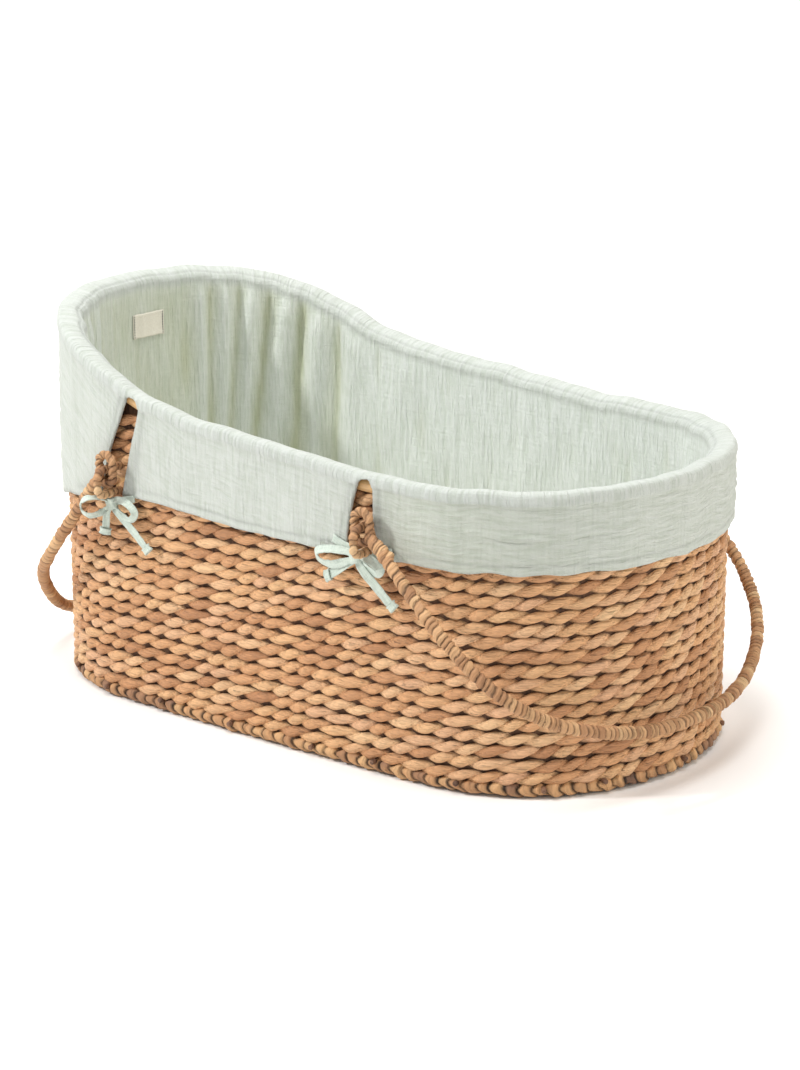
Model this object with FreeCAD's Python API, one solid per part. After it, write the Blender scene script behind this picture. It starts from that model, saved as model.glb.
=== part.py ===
"""Oval wicker carry cot (Moses basket) with a quilted liner and two swinging rope handles.

Millimetres. Origin on the floor under the middle of the basket, +X to the foot end,
+Y to the far side, +Z up. Every piece is its own solid in its own STEP file.
"""
import FreeCAD, Part
import math
import os

from FreeCAD import Vector

os.makedirs("parts", exist_ok=True)

# Plan of the basket at the outer face of the weave: an oval of end, corner and side arcs
HALF_LENGTH = 400.0
HALF_WIDTH = 216.0
END_RADIUS = 246.0
CORNER_RADIUS = 190.0
SIDE_RADIUS = 6000.0

# Heights along the basket, as (x, z): the finished rim, and the lower edge of the skirt
RIM_LINE = [(-425, 433), (-340, 420), (-280, 402), (-220, 379), (-160, 357), (-80, 345),
            (20, 337), (140, 327), (280, 327), (425, 331)]
HEM_LINE = [(-425, 190), (-300, 221), (-205, 241), (0, 236), (205, 240), (425, 243)]

# Woven wall, base and rim
WALL_THICKNESS = 14.0
BASE_THICKNESS = 12.0
BORDER_DIAMETER = 16.0
BORDER_OFFSET = -2.0
POLE_DIAMETER = 17.0
POLE_CLEARANCE = 2.5
POLE_ROUTE_POINTS = 72
STAKE_DIAMETER = 4.0
STAKE_COUNT = 30
STAKE_TOP_GAP = 30.0

# Liner: padded wall, cap over the rim, floor pad and outer skirt
LINER_GAP = 2.5
LINER_THICKNESS = 5.5
CAP_THICKNESS = 5.0
FLOOR_PAD_THICKNESS = 6.0
SKIRT_INNER = 3.0
SKIRT_OUTER = 7.5
SLOT_TOP_HALF_WIDTH = 8.0
SLOT_HEM_HALF_WIDTH = 20.0

# Mattress
MATTRESS_HEIGHT = 38.0
MATTRESS_GAP = 3.0
COVER_THICKNESS = 1.5

# Sewn-in label on the inside of the head end
LABEL_CENTRE = (20.0, 367.0)
LABEL_SIZE = (54.0, 29.0)
LABEL_THICKNESS = 1.2

# Anchor rings: a wrapped staple through the wall whose upper leg is the handle's hinge bar
HINGE_HEIGHT = 274.0
FOOT_HINGE_X = 152.0
HEAD_HINGE_X = -205.0
RING_DIAMETER = 9.0
RING_REACH = 248.0
RING_LEG_SPACING = 28.0
RING_CORNER_RADIUS = 9.0
KNOT_SIZE = (22.0, 8.0, 48.0)

# Handle ends: an upright oval eye round the hinge bar, and a tapered whipping over the rope's end
EYE_Y = 234.0
EYE_CORD_DIAMETER = 9.0
EYE_CLEARANCE = 0.6
EYE_HALF_STRAIGHT = 6.9
WHIPPING_Y = 236.0
WHIPPING_DIAMETER = 22.0
WHIPPING_TIP_DIAMETER = 11.0
WHIPPING_START = 13.0
WHIPPING_SHOULDER = 25.0
WHIPPING_END = 42.0
FOOT_ARM_ANGLE = 37.0
HEAD_ARM_ANGLE = 52.0

# Handle ropes: routes by hand, from the near whipping round the end of the basket
ROPE_DIAMETER = 17.0
FOOT_ROPE_ROUTE = [(177.6, -236, 254.7), (268, -262, 187), (350, -228, 110), (404, -120, 70),
                   (427, 0, 66),
                   (404, 120, 70), (350, 228, 110), (268, 262, 187), (177.6, 236, 254.7)]
HEAD_ROPE_ROUTE = [(-224.7, -236, 248.8), (-300, -236, 158), (-377, -169, 98), (-420, -92, 32),
                   (-434, 0, 20),
                   (-420, 92, 32), (-377, 169, 98), (-300, 236, 158), (-224.7, 236, 248.8)]
ARC_SHARE = 0.45

# Ribbon bows that close the skirt under each ring
BOW_THICKNESS = 5.0
BOW_INNER_Y = 218.0
BOW_OUTLINE = [(-42, -8), (-30, -16), (-14, -10), (-34, -38), (-26, -42), (-6, -12), (8, -12),
               (34, -48), (42, -42), (22, -10), (34, -14), (40, -2), (26, 1), (0, 3), (-28, 1)]
FOOT_BOW_CENTRE = (143.0, 235.0)
HEAD_BOW_CENTRE = (-203.0, 236.0)

LIMIT = 460.0
UP = Vector(0, 0, 1)


def circle_crossing(c1, r1, c2, r2):
    """Upper right crossing of two circles in the plan."""
    dx, dy = c2[0] - c1[0], c2[1] - c1[1]
    gap = math.hypot(dx, dy)
    along = (r1 * r1 - r2 * r2 + gap * gap) / (2 * gap)
    across = math.sqrt(r1 * r1 - along * along)
    x, y = c1[0] + along * dx / gap, c1[1] + along * dy / gap
    options = [(x - across * dy / gap, y + across * dx / gap),
               (x + across * dy / gap, y - across * dx / gap)]
    return max(options, key=lambda point: point[0] + point[1])


END_CENTRE = (HALF_LENGTH - END_RADIUS, 0.0)
SIDE_CENTRE = (0.0, HALF_WIDTH - SIDE_RADIUS)
CORNER_CENTRE = circle_crossing(END_CENTRE, END_RADIUS - CORNER_RADIUS,
                                SIDE_CENTRE, SIDE_RADIUS - CORNER_RADIUS)
END_ANGLE = math.atan2(CORNER_CENTRE[1], CORNER_CENTRE[0] - END_CENTRE[0])
SIDE_ANGLE = math.atan2(CORNER_CENTRE[1] - SIDE_CENTRE[1], CORNER_CENTRE[0])


def oval_arcs(offset):
    """The oval's eight arcs, anticlockwise from the foot end: centre, radius, two angles."""
    ex, cx, cy = END_CENTRE[0], CORNER_CENTRE[0], CORNER_CENTRE[1]
    sy = SIDE_CENTRE[1]
    end, corner, side = END_RADIUS + offset, CORNER_RADIUS + offset, SIDE_RADIUS + offset
    pi, a, b = math.pi, END_ANGLE, SIDE_ANGLE
    return [((ex, 0), end, -a, a), ((cx, cy), corner, a, b), ((0, sy), side, b, pi - b),
            ((-cx, cy), corner, pi - b, pi - a), ((-ex, 0), end, pi - a, pi + a),
            ((-cx, -cy), corner, pi + a, pi + b), ((0, -sy), side, pi + b, 2 * pi - b),
            ((cx, -cy), corner, 2 * pi - b, 2 * pi - a)]


def arc_point(centre, radius, angle, z=0.0):
    return Vector(centre[0] + radius * math.cos(angle), centre[1] + radius * math.sin(angle), z)


def oval_edges(offset, z):
    edges = []
    for centre, radius, start, stop in oval_arcs(offset):
        ends = [arc_point(centre, radius, angle, z) for angle in (start, (start + stop) / 2, stop)]
        edges.append(Part.Arc(*ends).toShape())
    return edges


def oval_prism(offset, z_low, z_high):
    face = Part.Face(Part.Wire(oval_edges(offset, z_low)))
    return face.extrude(Vector(0, 0, z_high - z_low))


def height_at(line, x):
    """Height of a line of (x, z) points at x, straight between the points."""
    for (x0, z0), (x1, z1) in zip(line, line[1:]):
        if x0 <= x <= x1:
            return z0 + (z1 - z0) * (x - x0) / (x1 - x0)
    raise ValueError("x is outside the line")


def lowered(line, drop):
    return [(x, z - drop) for x, z in line]


def level(z):
    return [(RIM_LINE[0][0], z), (RIM_LINE[-1][0], z)]


def line_edge(line):
    curve = Part.BSplineCurve()
    curve.interpolate([Vector(x, -LIMIT, z) for x, z in line])
    return curve.toShape()


def slab_between(low_line, high_line):
    """Everything between two height lines, across the whole width."""
    low, high = line_edge(low_line), line_edge(high_line)
    ends = [(Vector(line[i][0], -LIMIT, line[i][1])) for line in (low_line, high_line) for i in (0, -1)]
    sides = [Part.makeLine(ends[0], ends[2]), Part.makeLine(ends[1], ends[3])]
    wire = Part.Wire(Part.__sortEdges__([low, sides[1], high, sides[0]]))
    return Part.Face(wire).extrude(Vector(0, 2 * LIMIT, 0))


def band(inner_offset, outer_offset, low_line, high_line):
    """A wall that follows the oval between two offsets and two height lines."""
    outer = oval_prism(outer_offset, -20.0, LIMIT)
    inner = oval_prism(inner_offset, -30.0, LIMIT + 10.0)
    return outer.cut(inner).common(slab_between(low_line, high_line))


def tube(edges, diameter):
    """A round bar along lines and arcs that meet smoothly."""
    pieces = []
    for edge in edges:
        start = edge.valueAt(edge.FirstParameter)
        heading = edge.tangentAt(edge.FirstParameter)
        disc = Part.Face(Part.Wire(Part.makeCircle(diameter / 2, start, heading)))
        if isinstance(edge.Curve, Part.Line):
            pieces.append(disc.extrude(edge.valueAt(edge.LastParameter) - start))
        else:
            turn = math.degrees(edge.LastParameter - edge.FirstParameter)
            pieces.append(disc.revolve(edge.Curve.Center, edge.Curve.Axis, turn))
    body = pieces[0].multiFuse(pieces[1:]).removeSplitter()
    return body.Solids[0] if len(body.Solids) == 1 else body


def rounded_edges(points, closed=False, radius=None, label=None):
    """Straight runs joined by tangent arcs, each arc as large as its two runs allow."""
    points = [Vector(*point) for point in points]
    count = len(points)
    corners = range(count) if closed else range(1, count - 1)
    trims = {}
    for i in corners:
        before, here, after = points[i - 1], points[i], points[(i + 1) % count]
        into, out = here - before, after - here
        half_turn = into.getAngle(out) / 2
        reach = ARC_SHARE * min(into.Length, out.Length)
        if radius:
            reach = radius * math.tan(half_turn)
        into.normalize()
        out.normalize()
        start, stop = here - into * reach, here + out * reach
        arc_radius = reach / math.tan(half_turn)
        inward = (out - into).normalize()
        middle = here + inward * arc_radius * (1 / math.cos(half_turn) - 1)
        trims[i] = (start, middle, stop)
        if label:
            print(label, "arc", i, "turn", round(math.degrees(2 * half_turn), 1),
                  "radius", round(arc_radius, 1))
    edges = []
    for i in range(count if closed else count - 1):
        j = (i + 1) % count
        start = trims[i][2] if i in trims else points[i]
        stop = trims[j][0] if j in trims else points[j]
        edges.append(Part.makeLine(start, stop))
        if j in trims:
            edges.append(Part.Arc(*trims[j]).toShape())
    return edges


def closed_oval_route(offset, line, drop, count):
    """Points just outside the oval, evenly spaced, that a rounded route follows it through."""
    arcs = oval_arcs(offset)
    lengths = [radius * (stop - start) for _, radius, start, stop in arcs]
    step = sum(lengths) / count
    route = []
    for i in range(count):
        along = (i + 0.5) * step - lengths[0] / 2
        k = 0
        if along < 0:
            along += sum(lengths)
        while along > lengths[k]:
            along -= lengths[k]
            k += 1
        centre, radius, start, _ = arcs[k]
        spread = radius + step * step / (8 * radius)
        point = arc_point(centre, spread, start + along / radius)
        route.append((point.x, point.y, height_at(line, point.x) - drop))
    return route


# ---- basket -------------------------------------------------------------------------------

def base_panel():
    return oval_prism(BORDER_OFFSET - BORDER_DIAMETER / 2 - 0.5, 0.0, BASE_THICKNESS)


def base_border():
    height = BORDER_DIAMETER / 2 + 0.5
    return tube(oval_edges(BORDER_OFFSET, height), BORDER_DIAMETER)


def rim_pole():
    drop = CAP_THICKNESS + POLE_CLEARANCE + POLE_DIAMETER / 2
    route = closed_oval_route(-WALL_THICKNESS / 2, RIM_LINE, drop, POLE_ROUTE_POINTS)
    return tube(rounded_edges(route, closed=True), POLE_DIAMETER)


def wall_stakes():
    """Upright canes on the inner face of the wall."""
    canes = []
    top_drop = CAP_THICKNESS + POLE_DIAMETER + STAKE_TOP_GAP
    hinge_xs = (FOOT_HINGE_X, HEAD_HINGE_X)
    for x, y, z in closed_oval_route(-WALL_THICKNESS, RIM_LINE, top_drop, STAKE_COUNT):
        if min(abs(x - hinge) for hinge in hinge_xs) < KNOT_SIZE[0] and abs(y) > HALF_WIDTH / 2:
            z = HINGE_HEIGHT - RING_LEG_SPACING - KNOT_SIZE[2]
        foot = Vector(x, y, BASE_THICKNESS)
        canes.append(Part.makeCylinder(STAKE_DIAMETER / 2, z - BASE_THICKNESS, foot, UP))
    return Part.makeCompound(canes)


def wall_weave(cutters):
    top_drop = CAP_THICKNESS + POLE_CLEARANCE + POLE_DIAMETER / 2
    wall = band(-WALL_THICKNESS, 0.0, level(BASE_THICKNESS), lowered(RIM_LINE, top_drop))
    for cutter in cutters:
        wall = wall.cut(cutter)
    return max(wall.Solids, key=lambda solid: solid.Volume)


# ---- anchor rings -------------------------------------------------------------------------

def anchor_ring(hinge_x, side):
    root = side * (HALF_WIDTH - WALL_THICKNESS + KNOT_SIZE[1] / 2)
    reach = side * RING_REACH
    low = HINGE_HEIGHT - RING_LEG_SPACING
    route = [(hinge_x, root, HINGE_HEIGHT), (hinge_x, reach, HINGE_HEIGHT),
             (hinge_x, reach, low), (hinge_x, root, low)]
    return tube(rounded_edges(route, radius=RING_CORNER_RADIUS), RING_DIAMETER)


def ring_knot(hinge_x, side, ring):
    """The lashing inside the wall that holds the two legs of a ring."""
    length, depth, height = KNOT_SIZE
    middle = HINGE_HEIGHT - RING_LEG_SPACING / 2
    corner = Vector(hinge_x - length / 2, -depth / 2, middle - height / 2)
    block = Part.makeBox(length, depth, height, corner)
    block = block.makeFillet(depth / 3, block.Edges)
    # the deepest point of the wall's curve keeps the knot flush with its inner face
    flush = side * (HALF_WIDTH - WALL_THICKNESS + depth / 2 - 1.0)
    block.translate(Vector(0, flush, 0))
    return block.cut(ring)


# ---- liner --------------------------------------------------------------------------------

def liner_wall():
    """Padded wall inside the basket, with a cap that folds over the rim."""
    inner = -(WALL_THICKNESS + LINER_GAP + LINER_THICKNESS)
    pad = band(inner, -(WALL_THICKNESS + LINER_GAP), level(BASE_THICKNESS + 1.0),
               lowered(RIM_LINE, CAP_THICKNESS))
    cap = band(inner, SKIRT_OUTER, lowered(RIM_LINE, CAP_THICKNESS), RIM_LINE)
    joined = pad.fuse(cap).removeSplitter()
    return joined.Solids[0]


def liner_floor():
    inner = -(WALL_THICKNESS + LINER_GAP + LINER_THICKNESS)
    low = BASE_THICKNESS + 1.0
    return oval_prism(inner, low, low + FLOOR_PAD_THICKNESS)


def slot_wedge(hinge_x, top_x, hem_x):
    """The gap in the skirt that a ring stands in, on both sides of the basket."""
    bottom = HINGE_HEIGHT - 90.0
    top = height_at(RIM_LINE, top_x) - CAP_THICKNESS
    hem = height_at(HEM_LINE, hinge_x)
    lean = (top_x - hem_x) / (top - hem)
    foot_x = hem_x + lean * (bottom - hem)
    corners = [(foot_x - SLOT_HEM_HALF_WIDTH, bottom), (foot_x + SLOT_HEM_HALF_WIDTH, bottom),
               (top_x + SLOT_TOP_HALF_WIDTH, top + 20), (top_x - SLOT_TOP_HALF_WIDTH, top + 20)]
    points = [Vector(x, -LIMIT, z) for x, z in corners]
    return Part.Face(Part.makePolygon(points + points[:1])).extrude(Vector(0, 2 * LIMIT, 0))


def skirt_flaps():
    """The four hanging flaps, cut apart by the slots."""
    skirt = band(SKIRT_INNER, SKIRT_OUTER, HEM_LINE, lowered(RIM_LINE, CAP_THICKNESS))
    skirt = skirt.cut(slot_wedge(FOOT_HINGE_X, 147.0, 147.0))
    skirt = skirt.cut(slot_wedge(HEAD_HINGE_X, -178.0, -203.0))
    flaps = {}
    for solid in skirt.Solids:
        centre = solid.CenterOfMass
        if abs(centre.y) > HALF_WIDTH / 2:
            name = "skirt_far" if centre.y > 0 else "skirt_near"
        else:
            name = "skirt_foot" if centre.x > 0 else "skirt_head"
        flaps[name] = solid
    return flaps


def ribbon_bow(centre, side):
    x, z = centre
    y = side * BOW_INNER_Y
    points = [Vector(x + u, y, z + v) for u, v in BOW_OUTLINE]
    face = Part.Face(Part.makePolygon(points + points[:1]))
    return face.extrude(Vector(0, side * BOW_THICKNESS, 0))


def label():
    inner = -(WALL_THICKNESS + LINER_GAP + LINER_THICKNESS)
    patch = band(inner - LABEL_THICKNESS, inner, level(300.0), level(420.0))
    corner = Vector(-HALF_LENGTH, LABEL_CENTRE[0] - LABEL_SIZE[0] / 2,
                    LABEL_CENTRE[1] - LABEL_SIZE[1] / 2)
    return patch.common(Part.makeBox(HALF_LENGTH / 2, *LABEL_SIZE, corner)).Solids[0]


# ---- mattress -----------------------------------------------------------------------------

def mattress():
    """The cover, hollow, and the foam core that fills it."""
    side = -(WALL_THICKNESS + LINER_GAP + LINER_THICKNESS + MATTRESS_GAP)
    low = BASE_THICKNESS + 1.0 + FLOOR_PAD_THICKNESS
    outer = oval_prism(side, low, low + MATTRESS_HEIGHT)
    inside = oval_prism(side - COVER_THICKNESS, low + COVER_THICKNESS,
                        low + MATTRESS_HEIGHT - COVER_THICKNESS)
    return outer.cut(inside), inside


# ---- handles ------------------------------------------------------------------------------

def arm_heading(hinge_x, angle):
    """Unit vector along a handle's arm at rest, away from its hinge."""
    outward = 1.0 if hinge_x > 0 else -1.0
    slope = math.radians(angle)
    return Vector(outward * math.cos(slope), 0, -math.sin(slope))


def handle_eye(hinge_x, side):
    """An upright oval of cord round the hinge bar."""
    bend = RING_DIAMETER / 2 + EYE_CLEARANCE + EYE_CORD_DIAMETER / 2
    across = Vector(bend, 0, 0)
    rise = Vector(0, 0, bend)
    centre = Vector(hinge_x, side * EYE_Y, HINGE_HEIGHT)
    top = centre + UP * EYE_HALF_STRAIGHT
    bottom = centre - UP * EYE_HALF_STRAIGHT
    edges = [Part.Arc(top - across, top + rise, top + across).toShape(),
             Part.makeLine(top + across, bottom + across),
             Part.Arc(bottom + across, bottom - rise, bottom - across).toShape(),
             Part.makeLine(bottom - across, top - across)]
    return tube(edges, EYE_CORD_DIAMETER)


def handle_whipping(hinge_x, angle, side, cutters):
    """The bound end of a rope, tapering to where it grips the eye."""
    heading = arm_heading(hinge_x, angle)
    hinge = Vector(hinge_x, side * WHIPPING_Y, HINGE_HEIGHT)
    start, shoulder = hinge + heading * WHIPPING_START, hinge + heading * WHIPPING_SHOULDER
    barrel = Part.makeCylinder(WHIPPING_DIAMETER / 2, WHIPPING_END - WHIPPING_SHOULDER,
                               shoulder, heading)
    taper = Part.makeCone(WHIPPING_TIP_DIAMETER / 2, WHIPPING_DIAMETER / 2,
                          WHIPPING_SHOULDER - WHIPPING_START, start, heading)
    body = barrel.fuse(taper)
    for cutter in cutters:
        body = body.cut(cutter)
    return max(body.Solids, key=lambda solid: solid.Volume)


def handle_rope(route, name):
    edges = rounded_edges(route, label=name)
    rope = tube(edges, ROPE_DIAMETER)
    length = sum(edge.Length for edge in edges)
    section = math.pi * ROPE_DIAMETER ** 2 / 4
    print(name, "length", round(length, 1), "volume", round(rope.Volume),
          "section times length", round(section * length))
    return rope


def main():
    pieces = {"base_panel": base_panel(), "base_border": base_border(), "rim_pole": rim_pole(),
              "wall_stakes": wall_stakes(), "liner_wall": liner_wall(),
              "liner_floor": liner_floor(), "label": label()}
    pieces.update(skirt_flaps())
    pieces["mattress_cover"], pieces["mattress_core"] = mattress()

    for end, hinge_x in (("head", HEAD_HINGE_X), ("foot", FOOT_HINGE_X)):
        bow_centre = FOOT_BOW_CENTRE if end == "foot" else HEAD_BOW_CENTRE
        angle = FOOT_ARM_ANGLE if end == "foot" else HEAD_ARM_ANGLE
        route = FOOT_ROPE_ROUTE if end == "foot" else HEAD_ROPE_ROUTE
        rope = handle_rope(route, "handle_rope_" + end)
        pieces["handle_rope_" + end] = rope
        for place, side in (("near", -1), ("far", 1)):
            tag = end + "_" + place
            ring = anchor_ring(hinge_x, side)
            eye = handle_eye(hinge_x, side)
            pieces["anchor_ring_" + tag] = ring
            pieces["ring_knot_" + tag] = ring_knot(hinge_x, side, ring)
            pieces["handle_eye_" + tag] = eye
            pieces["handle_whipping_" + tag] = handle_whipping(hinge_x, angle, side, [eye, rope])
            pieces["ribbon_bow_" + tag] = ribbon_bow(bow_centre, side)

    holes = [shape for name, shape in pieces.items()
             if name.startswith(("anchor_ring", "ring_knot", "rim_pole", "base_border", "wall_stakes"))]
    pieces["wall_weave"] = wall_weave(holes)

    for name, shape in sorted(pieces.items()):
        print(name, "solids", len(shape.Solids), "valid", shape.isValid(),
              "volume", round(shape.Volume))
        shape.exportStep("parts/" + name + ".step")


main()
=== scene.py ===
"""An oval woven carry cot with a muslin liner, ribbon bows and two rope handles, in metres."""
import math

import bpy
import numpy as np
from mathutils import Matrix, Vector


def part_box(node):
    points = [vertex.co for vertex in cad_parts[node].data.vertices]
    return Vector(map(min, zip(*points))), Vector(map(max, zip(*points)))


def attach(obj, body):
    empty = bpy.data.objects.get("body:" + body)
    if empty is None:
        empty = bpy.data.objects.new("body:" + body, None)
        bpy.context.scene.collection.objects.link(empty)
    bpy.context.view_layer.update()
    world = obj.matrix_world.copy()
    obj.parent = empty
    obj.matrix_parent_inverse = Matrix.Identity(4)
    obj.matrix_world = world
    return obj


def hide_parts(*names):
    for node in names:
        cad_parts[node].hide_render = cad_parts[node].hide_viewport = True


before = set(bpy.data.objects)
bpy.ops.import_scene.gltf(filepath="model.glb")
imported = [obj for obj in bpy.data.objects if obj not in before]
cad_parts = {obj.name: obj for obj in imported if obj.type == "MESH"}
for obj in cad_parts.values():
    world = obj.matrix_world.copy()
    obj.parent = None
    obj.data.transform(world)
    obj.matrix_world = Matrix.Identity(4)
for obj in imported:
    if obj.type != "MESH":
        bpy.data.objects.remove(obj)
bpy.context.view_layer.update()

MM = 0.001
TAU = 2 * math.pi
SIDES = {"near": -1, "far": 1}

# Driving sizes of the CAD model: the plan at the outer face of the weave, and the two edge lines
HALF_LENGTH, HALF_WIDTH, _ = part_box("wall_weave")[1]
END_RADIUS = 0.246
CORNER_RADIUS = 0.190
SIDE_RADIUS = 6.0
RIM_LINE = [(-0.425, 0.433), (-0.340, 0.420), (-0.280, 0.402), (-0.220, 0.379), (-0.160, 0.357),
            (-0.080, 0.345), (0.020, 0.337), (0.140, 0.327), (0.280, 0.327), (0.425, 0.331)]
HEM_LINE = [(-0.425, 0.190), (-0.300, 0.221), (-0.205, 0.241), (0.0, 0.236), (0.205, 0.240),
            (0.425, 0.243)]
WALL_MIDDLE = -0.007
BASE_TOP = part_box("base_panel")[1][2]
FLOOR_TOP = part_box("liner_floor")[1][2]
INNER_FACE = -0.022
OUTER_FACE = 0.0075
MATTRESS_SIDE = -0.025
HINGE_HEIGHT = 0.274
HINGE_X = {"head": -0.205, "foot": 0.152}

# Control points of the handle ropes' splines, the same as the CAD routes
ROPE_DIAMETER = 0.017
ROPE_HALF = {
    "foot": [(0.1776, -0.236, 0.2547), (0.268, -0.262, 0.187), (0.350, -0.228, 0.110),
             (0.404, -0.120, 0.070), (0.427, 0.0, 0.066)],
    "head": [(-0.2247, -0.236, 0.2488), (-0.300, -0.236, 0.158), (-0.377, -0.169, 0.098),
             (-0.420, -0.092, 0.032), (-0.434, 0.0, 0.020)],
}


# ---- plan and edge lines ------------------------------------------------------------------

def circle_crossing(c1, r1, c2, r2):
    """Upper right crossing of two circles in the plan."""
    c1, c2 = np.array(c1), np.array(c2)
    gap = np.linalg.norm(c2 - c1)
    ahead = (c2 - c1) / gap
    along = (r1 * r1 - r2 * r2 + gap * gap) / (2 * gap)
    across = math.sqrt(r1 * r1 - along * along) * np.array([-ahead[1], ahead[0]])
    middle = c1 + ahead * along
    return max(middle + across, middle - across, key=lambda point: point[0] + point[1])


def oval_arcs():
    """Centre, radius, start angle and sweep of the eight arcs, anticlockwise from +X."""
    end = np.array([HALF_LENGTH - END_RADIUS, 0.0])
    side = np.array([0.0, HALF_WIDTH - SIDE_RADIUS])
    corner = circle_crossing(end, END_RADIUS - CORNER_RADIUS, side, SIDE_RADIUS - CORNER_RADIUS)
    first = math.atan2(corner[1], corner[0] - end[0])
    second = math.atan2(corner[1] - side[1], corner[0])
    flip = np.array([-1, 1])
    half = [(end, END_RADIUS, 0, first), (corner, CORNER_RADIUS, first, second - first),
            (side, SIDE_RADIUS, second, math.pi - 2 * second),
            (corner * flip, CORNER_RADIUS, math.pi - second, second - first),
            (end * flip, END_RADIUS, math.pi - first, first)]
    rest = [(-centre, radius, math.pi + start, sweep) for centre, radius, start, sweep in half]
    return half + rest


ARC_CENTRES, ARC_RADII, ARC_STARTS, ARC_SWEEPS = (np.array(part) for part in zip(*oval_arcs()))
ARC_ENDS = np.cumsum(ARC_RADII * ARC_SWEEPS)
PERIMETER = ARC_ENDS[-1]


def on_oval(along, offset=0.0):
    """Plan points at arc lengths along the outer face, moved outward by offset, and outward directions."""
    along = np.mod(along, PERIMETER)
    k = np.minimum(np.searchsorted(ARC_ENDS, along, side="right"), len(ARC_ENDS) - 1)
    angle = ARC_STARTS[k] + ARC_SWEEPS[k] - (ARC_ENDS[k] - along) / ARC_RADII[k]
    out = np.stack([np.cos(angle), np.sin(angle)], -1)
    return ARC_CENTRES[k] + out * (ARC_RADII[k] + offset)[..., None], out


def edge_line(points):
    """A smooth line through the points, with no overshoot."""
    xs, zs = (np.array(part) for part in zip(*points))
    chords = np.diff(zs) / np.diff(xs)
    slopes = np.concatenate([chords[:1], (chords[1:] + chords[:-1]) / 2, chords[-1:]])

    def height(x):
        k = np.clip(np.searchsorted(xs, x) - 1, 0, len(xs) - 2)
        run = xs[k + 1] - xs[k]
        t = (x - xs[k]) / run
        return (zs[k] * (1 + 2 * t) * (1 - t) ** 2 + zs[k + 1] * t * t * (3 - 2 * t)
                + run * (slopes[k] * t * (1 - t) ** 2 - slopes[k + 1] * t * t * (1 - t)))
    return height


rim_height = edge_line(RIM_LINE)
hem_height = edge_line(HEM_LINE)


def along_at(x, side):
    """Arc length at which one long side of the oval has this x."""
    table = np.linspace(0, PERIMETER / 2, 4001)
    xs = on_oval(table)[0][:, 0]
    along = float(np.interp(-x, -xs, table))
    return along if side > 0 else PERIMETER - along


def round_oval(count):
    """Evenly spaced arc lengths once round the oval."""
    return np.linspace(0, PERIMETER, count, endpoint=False)


def in_space(plan, height):
    """Plan points lifted to a height."""
    return np.concatenate([plan, np.broadcast_to(height, plan.shape[:-1])[..., None]], -1)


def ripple(seed, wave_lengths, *places):
    """Smooth noise of about -1 to 1. It closes on itself round the oval in the first place."""
    rng = np.random.default_rng(seed)
    total = 0.0
    for _ in range(8):
        phase = rng.uniform(0, TAU)
        for i, (wave, place) in enumerate(zip(wave_lengths, places)):
            frequency = rng.uniform(0.5, 1.6) * rng.choice([-1, 1]) / wave
            if i == 0:
                frequency = round(frequency * PERIMETER) / PERIMETER
            phase = phase + TAU * frequency * place
        total = total + np.sin(phase)
    return total / 3.5


def ease(low, high, value):
    """A smooth step from 0 at low to 1 at high."""
    t = np.clip((value - low) / (high - low), 0, 1)
    return t * t * (3 - 2 * t)


def unit(vectors):
    return vectors / np.linalg.norm(vectors, axis=-1, keepdims=True)


def circle(count):
    """Evenly spaced angles once round."""
    return np.linspace(0, TAU, count, endpoint=False)


def spokes(angles, first, second):
    """Directions at the angles from first towards second, for each pair of them."""
    angles = angles[:, None]
    return np.cos(angles) * first[..., None, :] + np.sin(angles) * second[..., None, :]


def running_length(points):
    """How far along a polyline each of its points is."""
    return np.concatenate([[0], np.cumsum(np.linalg.norm(np.diff(points, axis=0), axis=1))])


def steps_between(points, closed=False):
    """Directions along a path at its points."""
    return unit(np.roll(points, -1, 0) - np.roll(points, 1, 0) if closed else np.gradient(points, axis=0))


# ---- mesh helpers -------------------------------------------------------------------------

def grid_faces(rows, columns, close_rows=False, close_columns=False):
    """Quads of a grid of points stored row by row."""
    i = np.arange(rows if close_rows else rows - 1)[:, None]
    j = np.arange(columns if close_columns else columns - 1)[None, :]
    i2, j2 = (i + 1) % rows, (j + 1) % columns
    quads = np.stack([i * columns + j, i * columns + j2, i2 * columns + j2, i2 * columns + j], -1)
    return quads.reshape(-1, 4)


def tube_faces(rows, columns, closed=False):
    """Faces of a tube of rings, which joins up with itself or ends in two caps."""
    faces = [grid_faces(rows, columns, close_rows=closed, close_columns=True)]
    if not closed:
        last = (rows - 1) * columns
        faces += [[list(range(columns))[::-1]], [list(range(last, last + columns))]]
    return faces


def linked(name, data):
    """A new object in the scene that shows this data."""
    obj = bpy.data.objects.new(name, data)
    bpy.context.scene.collection.objects.link(obj)
    return obj


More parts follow.
